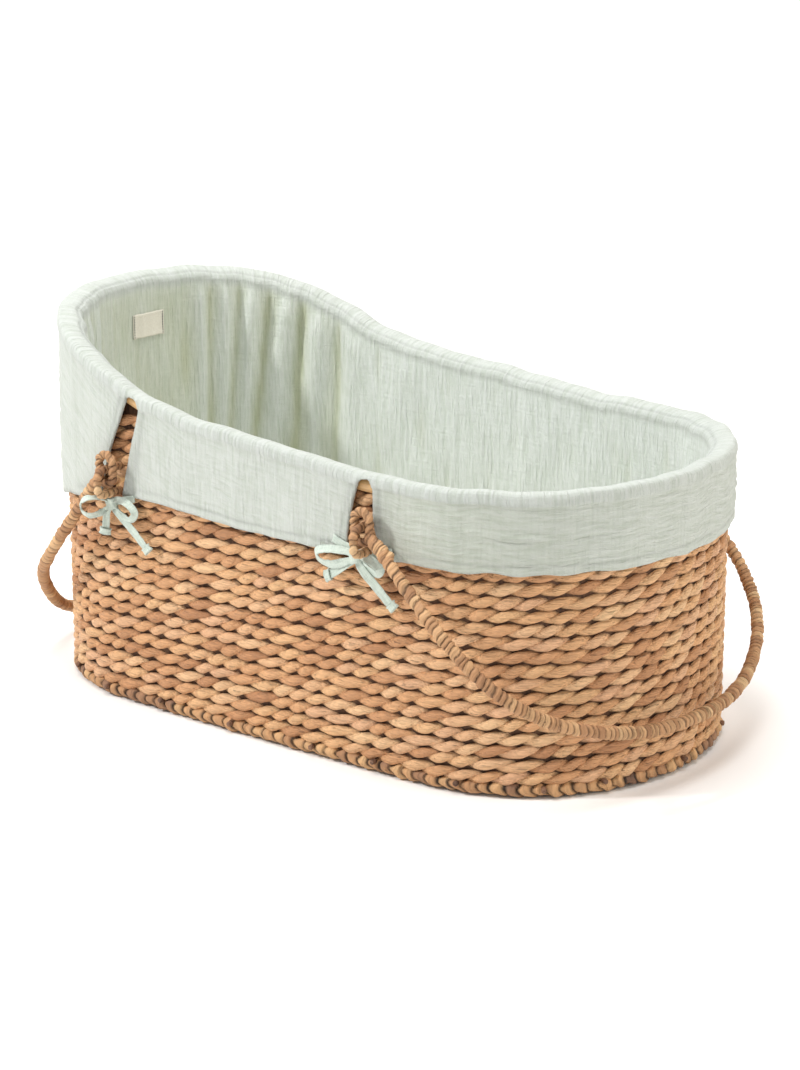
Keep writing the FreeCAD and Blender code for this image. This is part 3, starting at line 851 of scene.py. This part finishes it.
def fold_places(folds, along, height):
    """For each fold, the distance from its line in half widths, and its depth."""
    for x, side, depth, width, lean in folds:
        yield short_way(along - along_at(x, side) + side * lean * (height - 0.3)) / (width * MM), depth


def inner_swell(along, height):
    """How far the padded inner wall stands into the basket from its middle surface."""
    swell = 0.8 * ripple(211, (0.024, 0.9), along, height) + 1.1 * ripple(212, (0.10, 0.20), along, height)
    gathered = 0.45 + 0.55 * ease(0.26, 0.08, rim_at(along) - height)
    for away, depth in fold_places(INNER_FOLDS, along, height):
        swell = swell + gathered * depth * np.exp(-away ** 2)
    for away, depth in fold_places(INNER_CREASES, along, height):
        swell = swell - gathered * depth * np.exp(-away ** 2)
    top = ease(0.0, 0.030, rim_at(along) - CAP_DROP - height)
    low = ease(FLOOR_TOP + 0.02, 0.13, height)
    return np.clip(swell, -4.2, 11.5) * MM * (0.15 + 0.85 * low) * (0.45 + 0.55 * top)


# The rim roll's section from its outer side over the top, for angles 15 degrees apart: how far across
# from the middle and how high, as shares of its half width and height.
CAP_ACROSS = [1.0, 1.0, 0.97, 0.89, 0.72, 0.42, 0.09, -0.20, -0.46, -0.68, -0.86, -0.97, -1.0]
CAP_UP = [0.0, 0.32, 0.62, 0.86, 0.98, 1.0, 0.96, 0.89, 0.79, 0.65, 0.46, 0.24, 0.0]


def cap_section(angle):
    """Across and up shares of the rim roll at an angle, with the section's corners softened."""
    step = math.degrees(angle) / 15
    places = range(len(CAP_UP))
    return [np.mean([np.interp(step + move, places, line) for move in (-0.4, 0.0, 0.4)])
            for line in (CAP_ACROSS, CAP_UP)]


def rim_at(along):
    """Height of the liner's rim, which runs a little unevenly along the rim line."""
    plan, _ = on_oval(along, CAP_CENTRE)
    return rim_height(plan[..., 0]) + 0.0011 * ripple(215, (0.085,), along) - 0.0012


def outer_swell(along, height, plan_x):
    """How far the hanging skirt stands out from its middle surface."""
    down = (rim_at(along) - CAP_DROP - height) / (rim_at(along) - CAP_DROP - hem_height(plan_x))
    middle = np.clip(4 * down * (1 - down), 0, 1)
    swell = 0.9 * ripple(221, (0.11, 0.25), along, height) + 0.35 * ripple(222, (0.022, 0.4), along, height)
    drag = ripple(223, (0.16, 0.012), along, height)
    pulled = 0.15 + 0.75 * ease(0.17, 0.26, plan_x) + 0.60 * ease(-0.24, -0.30, plan_x)
    swell = swell + middle * drag * pulled
    stitch = (height - hem_height(plan_x) - HEM) / 0.0018
    return (swell + 0.9 * middle - 0.7 * np.exp(-stitch ** 2)) * MM


def slot_columns():
    """The slots as (arc length of the middle, end of the basket, side), in order round the oval."""
    return sorted((along_at(SLOT_LINES[end][0], side), end, side) for end in SLOT_LINES for side in (-1, 1))


def opened(along, which, share, slots):
    """Arc lengths of a row's points once the slots are opened, at this share of the way down."""
    along = along.copy()
    from_edge = np.full(len(along), 1.0)
    for number, (middle, end, side) in enumerate(slots):
        shape = np.array(SLOT_SHAPES[end])
        towards_head = np.interp(share, shape[:, 0], shape[:, 1]) * MM
        towards_foot = np.interp(share, shape[:, 0], shape[:, 2]) * MM
        top, bottom = SLOT_LINES[end]
        lean = (bottom - top) * share * -side
        before, after = (towards_head, towards_foot) if side < 0 else (towards_foot, towards_head)
        away = short_way(along - middle)
        fade = np.clip(1 - np.abs(away) / SLOT_REACH, 0, 1)
        left = (away < -1e-9) | ((np.abs(away) <= 1e-9) & (which == number))
        wide = np.where(left, before, after)
        along = along + fade * (lean + np.where(left, -before, after))
        near = np.abs(away) < SLOT_REACH
        from_edge = np.where(near, np.abs(away) * (1 - wide / SLOT_REACH), from_edge)
    return along, from_edge


def liner_columns(slots):
    """Arc lengths of the columns, the slot that each run of them ends at, and the runs."""
    along, which, runs = [], [], []
    for number, (start, _, _) in enumerate(slots):
        after = (number + 1) % len(slots)
        stop = slots[after][0] + (0 if after else PERIMETER)
        count = round((stop - start) / COLUMN_STEP) + 1
        runs.append((len(along), count))
        along += list(np.linspace(start, stop, count))
        which += [-1] * (count - 1) + [after]
    return np.array(along), np.array(which), runs


def is_open(kind, value):
    return kind == "outer" or (kind == "cap" and value < SLOT_CAP_ANGLE)


def liner_row(kind, value, along, which, slots):
    """One row of the liner: its points, and the cloth coordinate, painted shade, cross weight and painted
    olive hollow shade at them.
    """
    from_edge = 1.0
    if is_open(kind, value):
        whole, top = SLOT_RIM - CAP_DROP - SLOT_HEM, CAP_DROP * math.sin(SLOT_CAP_ANGLE)
        down = top + value * whole if kind == "outer" else top - CAP_DROP * math.sin(value)
        along, from_edge = opened(along, which, down / (whole + top), slots)
    shoulder = rim_at(along) - CAP_DROP
    plan_x = on_oval(along, OUTER_FACE)[0][:, 0]
    tone, cross = 1.0, 0.22
    if kind == "inner":
        height = run = FLOOR_TOP + value * (shoulder - FLOOR_TOP)
        stands = inner_swell(along, height)
        offset = INNER_FACE - stands
        # Painted olive shade: on the head end's inner wall and wherever the wall sinks back between folds,
        # less near the shoulder, and more towards the floor.
        at_head = ease(-0.17, -0.27, plan_x)
        painted_fold_shade = at_head * (0.08 + 0.36 * ease(0.0060, -0.0025, stands)) + 0.25 * ease(0.0, -0.003, stands)
        painted_fold_shade = painted_fold_shade * (1 - 0.5 * ease(0.015, 0.0, shoulder - height))
        hollow = np.clip(painted_fold_shade + 0.12 * ease(0.30, 0.12, height), 0, 1)
    elif kind == "cap":
        across, up = cap_section(value)
        from_seam = value - SEAM_ANGLE
        height = shoulder + CAP_DROP * up - 0.0012 * math.exp(-(from_seam / 0.10) ** 2)
        run = shoulder + (math.pi - value) * CAP_GIRTH
        offset = (CAP_CENTRE + CAP_HALF * across
                  - inner_swell(along, shoulder) * max(0.0, -math.cos(value)) ** 0.8
                  + outer_swell(along, shoulder, plan_x) * max(0.0, math.cos(value)) ** 1.5)
        # Painted shade: the rim roll is darker than the inner wall, and darker again along the seam's groove,
        # with a little painted olive shade.
        tone = 0.48 - 0.02 * ease(0.25, 0.75, across) - 0.34 * math.exp(-(from_seam / 0.09) ** 2)
        hollow = 0.05
    else:
        hem = hem_height(plan_x)
        height = shoulder - value * (shoulder - hem) + value * 0.0012 * ripple(231, (0.07,), along)
        run = shoulder + math.pi * CAP_GIRTH + (shoulder - height)
        offset = OUTER_FACE - 0.0016 + outer_swell(along, height, plan_x)
        offset = offset - 0.0006 * np.exp(-((from_edge - HEM) / 0.0022) ** 2)
        # Painted shade: the skirt is darker than the inner wall, and darker again along the hem's stitch line
        # and the hem band at the slot edges.
        tone = 0.51 - 0.35 * np.exp(-((height - hem - HEM) / 0.0014) ** 2)
        tone = tone - 0.16 * (from_edge < 0.0095) - 0.2 * np.exp(-((from_edge - HEM) / 0.0020) ** 2)
        cross = 0.57 + 0.30 * ease(0.15, 0.24, plan_x) + 0.30 * ease(-0.20, -0.25, plan_x)
        # Painted olive shade on the skirt, more on the long sides towards the foot end.
        hollow = 0.10 + 0.14 * ease(0.14, 0.20, plan_x) * ease(0.42, 0.26, plan_x)
    points = in_space(on_oval(along, offset)[0], height)
    # The cloth coordinate runs round a cylinder, so that it does not jump where the oval closes
    turn, girth = along / PERIMETER * TAU, PERIMETER / TAU
    cloth = np.stack([np.cos(turn) * girth, np.sin(turn) * girth, run], -1)
    return points, cloth, *(np.broadcast_to(part, along.shape) for part in (tone, cross, hollow))


def build_liner():
    """One sheet up the inside, over the rim and down the outside, with its slots, and the floor."""
    slots = slot_columns()
    along, which, runs = liner_columns(slots)
    rows = [("inner", share) for share in np.linspace(0, 1, INNER_ROWS, endpoint=False)]
    rows += [("cap", angle) for angle in np.linspace(math.pi, 0, CAP_ROWS, endpoint=False)]
    rows += [("outer", share) for share in np.linspace(0, 1, OUTER_ROWS)]
    parts = zip(*(liner_row(kind, value, along, which, slots) for kind, value in rows))
    points, cloth, tone, cross, hollow = (np.concatenate(part) for part in parts)

    # Each run of columns ends on the first column of the next one, down to the first open row
    first_open = [is_open(*row) for row in rows].index(True)
    number = np.arange(len(points)).reshape(len(rows), len(along))
    for k, (start, count) in enumerate(runs):
        next_start = runs[(k + 1) % len(runs)][0]
        number[:first_open + 1, start + count - 1] = number[:first_open + 1, next_start]
    blocks = [number[:, start:start + count] for start, count in runs]
    faces = [np.stack([block[1:, :-1], block[1:, 1:], block[:-1, 1:], block[:-1, :-1]], -1).reshape(-1, 4)
             for block in blocks]
    used, faces = np.unique(np.concatenate(faces), return_inverse=True)
    liner = Builder()
    liner.add(points[used], [faces.reshape(-1, 4)], cloth=cloth[used], tone=tone[used],
              cross=cross[used], hollow=hollow[used])
    piece = liner.build("liner_muslin", MUSLIN, "basket", "muslin",
                        ["liner_wall", "skirt_head", "skirt_foot", "skirt_near", "skirt_far"])
    thicken(piece, "padding", LINER_SHEET, -1)

    pad = disc(side=-0.0225, low=BASE_TOP + 0.001, high=FLOOR_TOP, edge=0.002, crown=0.0)
    pad.build("liner_floor_pad", MUSLIN, "basket", "muslin", ["liner_floor"])


def disc(side, low, high, edge, crown):
    """A closed pad that fills the oval: rounded edges, and a top that rises by crown."""
    plan, _ = on_oval(round_oval(260), side)
    profile = [(0.02, low), (0.5, low)]
    corner = np.linspace(0, math.pi / 2, 5)
    inset = edge / HALF_WIDTH
    profile += [(1 - inset * (1 - math.sin(a)), low + edge * (1 - math.cos(a))) for a in corner]
    profile += [(1 - inset * (1 - math.cos(a)), high - edge * (1 - math.sin(a))) for a in corner]
    profile += [(share, high + crown * (1 - share ** 4)) for share in np.linspace(0.96, 0.02, 26)]
    points = np.stack([in_space(plan * share, height) for share, height in profile])
    builder = Builder()
    builder.add(points, tube_faces(len(profile), len(plan)), cloth=points * (1, 1, 0), tone=1.0, cross=0.6)
    return builder


PIPING_RADIUS, PIPING_INSET, PIPING_SIDES = 0.0019, 0.010, 8


def build_mattress():
    """The mattress pad, with piping round its two edges."""
    low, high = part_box("mattress_cover")
    pad = disc(side=MATTRESS_SIDE, low=FLOOR_TOP + 0.0005, high=high[2] - 0.002, edge=0.014, crown=0.004)
    pad.build("mattress_pad", TICKING, "basket", "ticking", ["mattress_cover"])
    piping = Builder()
    along = round_oval(400)
    for height in (high[2] - PIPING_INSET, low[2] + PIPING_INSET):
        middle = in_space(on_oval(along, MATTRESS_SIDE - 0.0012)[0], height)
        frames = carried_frames(middle, (0, 0, 1), closed=True)
        points = middle[:, None, :] + PIPING_RADIUS * spokes(circle(PIPING_SIDES), *frames)
        run = np.repeat(along[:, None], PIPING_SIDES, axis=1)
        cloth = np.stack([run, points[..., 2], points[..., 1]], -1)
        piping.add(points, tube_faces(*run.shape, closed=True), cloth=cloth, tone=0.9, cross=0.6)
    piping.build("mattress_piping", TICKING, "basket", "ticking", ["mattress_cover"])


TAPE_LIFT, TAPE_THICKNESS, THREAD_THICKNESS = 0.0012, 0.0007, 0.0005
STITCH_INSET, STITCH_LIFT, STITCHES_AT_AN_EDGE = 0.0022, 0.0019, 9


def build_label():
    """A blank sewn-in label on the inner wall of the head end, with its stitches."""
    low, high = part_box("label")
    middle_y, middle_z = (low[1] + high[1]) / 2, (low[2] + high[2]) / 2
    half_width, half_height = (high[1] - low[1]) / 2, (high[2] - low[2]) / 2
    table = np.linspace(0.4 * PERIMETER, 0.6 * PERIMETER, 4001)
    middle = float(np.interp(middle_y, on_oval(table, INNER_FACE)[0][::-1, 1], table[::-1]))
    patch, stitches = Builder(), Builder()

    def add_on_liner(builder, u, v, lift):
        along, height = middle + u, middle_z + v
        points = in_space(on_oval(along, INNER_FACE - inner_swell(along, height) - lift)[0], height)
        builder.add(points, [grid_faces(*u.shape)], cloth=np.stack([u, v, 0 * u], -1), tone=1.0, cross=0.6)

    u, v = np.meshgrid(np.linspace(-half_width, half_width, 23), np.linspace(-half_height, half_height, 15))
    add_on_liner(patch, u, v, TAPE_LIFT + 0.0006 * (np.abs(v) / half_height) ** 3)
    piece = patch.build("label_patch", TAPE, "basket", "label_tape", ["label"])
    thicken(piece, "thickness", TAPE_THICKNESS, 0)

    thread = np.array([[-0.0005], [0.0005], [0.0005], [-0.0005]])
    stitch = np.array([-0.0011, -0.0004, 0.0004, 0.0011])
    arch = np.array([-0.0006, 0.0002, 0.0002, -0.0006])
    for edge in (-1, 1):
        for row in np.linspace(-0.86, 0.86, STITCHES_AT_AN_EDGE):
            u, v = edge * (half_width - STITCH_INSET) + thread, row * half_height + stitch
            add_on_liner(stitches, *np.broadcast_arrays(u, v), STITCH_LIFT + arch)
    piece = stitches.build("label_stitches", THREAD, "basket", "label_tape", ["label"])
    thicken(piece, "thickness", THREAD_THICKNESS, 0)


# ---- ribbon bows --------------------------------------------------------------------------

RIBBON_WIDTH = {"foot": 0.0100, "head": 0.0084}
RIBBON_THICKNESS = 0.0011
# Half sizes of the knots at the tails' ends and in the middle, and the width of the ribbon in them
END_KNOT, END_KNOT_WIDTH = (0.0062, 0.0021), 0.0078
KNOT, KNOT_WIDTH = (0.0062, 0.0042), 0.0125

# Each strip's knots: where, as (towards the foot, outward, up) in millimetres, and then which way the
# ribbon faces there, which is outward if it is left out
BOWS = {
    "foot": {
        "loop_head": [(2, 3, 1, 0, 1, 0.3), (-14, 6, 3, 0, 0.8, 0.7), (-34, 8, 2, 0.1, 0.7, 0.8),
                      (-49, 8, -3, -0.6, 0.9, 0.2), (-46, 7, -12, -0.4, 0.9, -0.5),
                      (-30, 7, -14, 0, 1, -0.3), (-12, 6, -8, 0, 1, -0.1), (0, 4, -2)],
        "loop_foot": [(-1, 4, 1, 0, 1, 0.3), (10, 7, 3, 0, 0.8, 0.6), (24, 8, -1, 0.2, 0.8, 0.6),
                      (33, 7, -7, 0.8, 0.9, 0.1), (27, 5, -14, 0.3, 1, -0.3), (12, 5, -9, 0, 1, -0.2),
                      (0, 4, -3)],
        "tail_head": [(0, 3, -2), (-12, 4, -11, -0.3, 1, 0.2), (-26, 5, -21, 0.3, 1, 0.5),
                      (-39, 6, -29, -0.2, 1, 0.3)],
        "tail_foot": [(0, 5, -3), (12, 7, -14, 0.3, 1, 0.2), (27, 6, -27, 0.1, 1, 0.3),
                      (40, 5, -39, -0.1, 1, 0.2), (49, 4, -47)],
        "strap_head": [(0, 4, 0), (-8, 2.5, 5), (-22, 0.8, 8), (-34, 0.2, 12)],
        "strap_foot": [(0, 4, 0), (9, 2.5, 4), (24, 0.8, 6), (44, 0.2, 10)],
    },
    "head": {
        "loop_head": [(1, 3, 1, 0, 1, 0.3), (-5, 16, 6, -0.3, 0.8, 0.7), (-12, 27, 8, -0.3, 0.8, 0.7),
                      (-21, 30, 3, -0.9, 0.8, 0.1), (-21, 30, -7, -0.5, 0.9, -0.5),
                      (-12, 26, -12, 0, 1, -0.4), (-5, 13, -9, -0.3, 1, -0.2), (0, 4, -2)],
        "loop_foot": [(-1, 4, 1, 0, 1, 0.3), (12, 8, 6, 0, 0.8, 0.7), (28, 9, 4, 0.3, 0.8, 0.6),
                      (37, 8, -5, 0.8, 0.9, 0), (29, 7, -14, 0.3, 1, -0.4), (13, 6, -9, 0, 1, -0.2),
                      (0, 4, -3)],
        "tail_head": [(0, 4, -2), (-7, 5, -12, 0.5, 1, 0), (-9, 5, -25, 0.9, 1, 0), (-12, 4, -37, 0.5, 1, 0)],
        "tail_foot": [(0, 5, -3), (13, 7, -11, 0.3, 1, 0.4), (29, 6, -24, 0.1, 1, 0.5),
                      (42, 5, -36, 0, 1, 0.2), (53, 4, -47)],
        "strap_head": [(0, 4, 0), (-9, 2.5, 3), (-24, 0.8, 3), (-36, 0.2, 5)],
        "strap_foot": [(0, 4, 0), (9, 2.5, 3), (18, 0.8, 5), (30, 0.2, 8)],
    },
}
BOW_PLACES = {"foot": (0.138, 0.239), "head": (-0.207, 0.234)}
# Shares of the full width along each kind of strip
RIBBON_SHAPES = {"tail": ((0, 0.15, 0.6, 1), (0.55, 0.9, 1.0, 1.05)),
                 "loop": ((0, 0.2, 0.8, 1), (0.55, 1.0, 1.0, 0.55)), "strap": ((0, 1), (1.0, 1.0))}
# A ribbon's section: shares of its half width, and of its thickness
RIBBON_ACROSS = np.array([-1, -0.93, -0.5, 0, 0.5, 0.93, 1, 0.93, 0.5, 0, -0.5, -0.93])
RIBBON_LIFTS = np.array([0, 0.5, 0.5, 0.5, 0.5, 0.5, 0, -0.5, -0.5, -0.5, -0.5, -0.5])


def flowing(knots, steps=9):
    """A smooth path through the knots."""
    knots = np.array(knots, dtype=float)
    padded = np.vstack([2 * knots[0] - knots[1], knots, 2 * knots[-1] - knots[-2]])
    t = np.linspace(0, 1, steps, endpoint=False)[:, None]
    runs = []
    for a, b, c, d in zip(padded, padded[1:], padded[2:], padded[3:]):
        runs.append(0.5 * (2 * b + (c - a) * t + (2 * a - 5 * b + 4 * c - d) * t ** 2
                           + (3 * b - a - 3 * c + d) * t ** 3))
    return np.vstack(runs + [knots[-1:]])


def strip(builder, path, facing, width, seed, closed=False, thick=RIBBON_THICKNESS):
    """Adds a flat ribbon along a path, with crumpled edges."""
    tangents = steps_between(path, closed)
    across = unit(np.cross(facing, tangents))
    face = np.cross(tangents, across)
    lengths = running_length(path)[:, None]
    half = np.broadcast_to(width, len(path))[:, None] / 2
    shares = RIBBON_ACROSS[None, :]
    crumple = 0.0005 * ripple(seed, (0.012, 1.2), lengths, shares)
    lift = RIBBON_LIFTS * thick + crumple + 0.0009 * (shares ** 2 - 0.4)
    points = (path[:, None, :] + across[:, None, :] * (shares * half)[..., None]
              + face[:, None, :] * lift[..., None])
    cloth = np.stack([0 * lift + shares * 0.005, 0 * lift + lengths + 0.1 * seed, 0 * lift], -1)
    # Painted shade darkens the ribbon towards its edges.
    builder.add(points, tube_faces(*lift.shape, closed), cloth=cloth,
                tone=0 * lift + 1 - 0.25 * np.abs(shares) ** 6, cross=0.6)


def build_bow(end, place, side):
    """A bow of loops, tails with knotted ends, the straps it is tied on by, and its knot."""
    x, z = BOW_PLACES[end]
    plan, _ = on_oval(np.array([along_at(x, side)]), OUTER_FACE)
    centre = np.array([x, plan[0, 1], z])
    turn = np.array([1, side, 1])
    bow = Builder()
    for number, (name, knots) in enumerate(BOWS[end].items()):
        kind = name.split("_")[0]
        line = flowing([knot if len(knot) == 6 else (*knot, 0, 1, 0) for knot in knots])
        path, facing = centre + line[:, :3] * MM * turn, line[:, 3:] * turn
        width = RIBBON_WIDTH[end] * np.interp(np.linspace(0, 1, len(path)), *RIBBON_SHAPES[kind])
        strip(bow, path, facing, width, 300 + number)
        if kind == "tail":
            heading = unit(path[-1] - path[-4])
            flat = unit(np.cross(heading, facing[-1]))
            spoke = spokes(circle(20), flat * END_KNOT[0], np.cross(flat, heading) * END_KNOT[1])
            strip(bow, path[-3] + spoke, spoke, END_KNOT_WIDTH, 320 + number, closed=True)
    spoke = spokes(circle(24), np.array([KNOT[0], 0, 0.0015]), np.array([0, KNOT[1] * side, 0]))
    knot = centre + np.array([0, 0.0052 * side, -0.001])
    strip(bow, knot + spoke, spoke, KNOT_WIDTH, 340, closed=True, thick=2 * RIBBON_THICKNESS)
    bow.build("bow_" + end + "_" + place, RIBBON, "basket", "ribbon", ["ribbon_bow_" + end + "_" + place])


# ---- camera and studio --------------------------------------------------------------------

CAMERA_PLACE = (1.8997, -2.4038, 1.1055)
CAMERA_TARGET = (0.0111, 0.0087, 0.1819)
LENS, SENSOR_WIDTH = 96.45, 36.0
FLOOR_REACH, FLOOR_LEVEL = 12.0, -0.0005
WORLD_COLOUR, WORLD_STRENGTH = (1.0, 0.985, 0.955, 1.0), 0.60
# Each light's place, target, size, power and colour
LIGHTS = {
    "key": ((-1.9, -2.2, 2.5), (0, 0, 0.2), 0.34, 76.0, (1.0, 0.99, 0.97)),
    "side": ((2.9, 0.9, 1.2), (0.2, 0, 0.2), 1.6, 24.0, (1.0, 0.92, 0.76)),
    "top": ((0.0, -0.2, 3.4), (0, 0, 0.2), 2.6, 86.0, (1, 1, 1)),
    "backdrop": ((-3.4, 4.3, 3.2), (-3.4, 4.3, 0), 3.5, 110.0, (1, 1, 1)),
}


def aimed(name, data, place, target):
    """A camera or light at a place, turned to a target."""
    obj = linked(name, data)
    obj.location = place
    obj.rotation_euler = (Vector(target) - Vector(place)).to_track_quat("-Z", "Y").to_euler()
    return obj


def build_studio():
    scene = bpy.context.scene
    data = bpy.data.cameras.new("camera")
    data.lens = LENS
    data.sensor_width = SENSOR_WIDTH
    scene.camera = aimed("camera", data, CAMERA_PLACE, CAMERA_TARGET)

    mesh = bpy.data.meshes.new("floor")
    corners = [(x * FLOOR_REACH, y * FLOOR_REACH, 0) for x, y in ((-1, -1), (1, -1), (1, 1), (-1, 1))]
    mesh.from_pydata(corners, [], [(0, 1, 2, 3)])
    mesh.materials.append(PALE)
    floor = linked("floor", mesh)
    floor.location.z = FLOOR_LEVEL

    world = bpy.data.worlds.new("studio")
    world.use_nodes = True
    background = world.node_tree.nodes["Background"]
    feed(world.node_tree, background, {"Color": WORLD_COLOUR, "Strength": WORLD_STRENGTH})
    scene.world = world
    for name, (place, target, size, power, colour) in LIGHTS.items():
        data = bpy.data.lights.new(name, "AREA")
        data.shape = "DISK"
        data.size = size
        data.energy = power
        data.color = colour
        aimed(name, data, place, target)
    scene.view_settings.view_transform = "Standard"


for end in ROPE_HALF:
    build_handle(end)
build_weave()
build_base()
build_liner()
build_mattress()
build_label()
for end in BOWS:
    for place, side in SIDES.items():
        build_bow(end, place, side)

shown = {"rim_pole": CANE, "wall_stakes": CANE, "mattress_core": FOAM}
shown.update({"ring_knot_" + end + "_" + place: CANE for end in ROPE_HALF for place in SIDES})
for node, material in shown.items():
    for material_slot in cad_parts[node].material_slots:
        material_slot.material = material

build_studio()
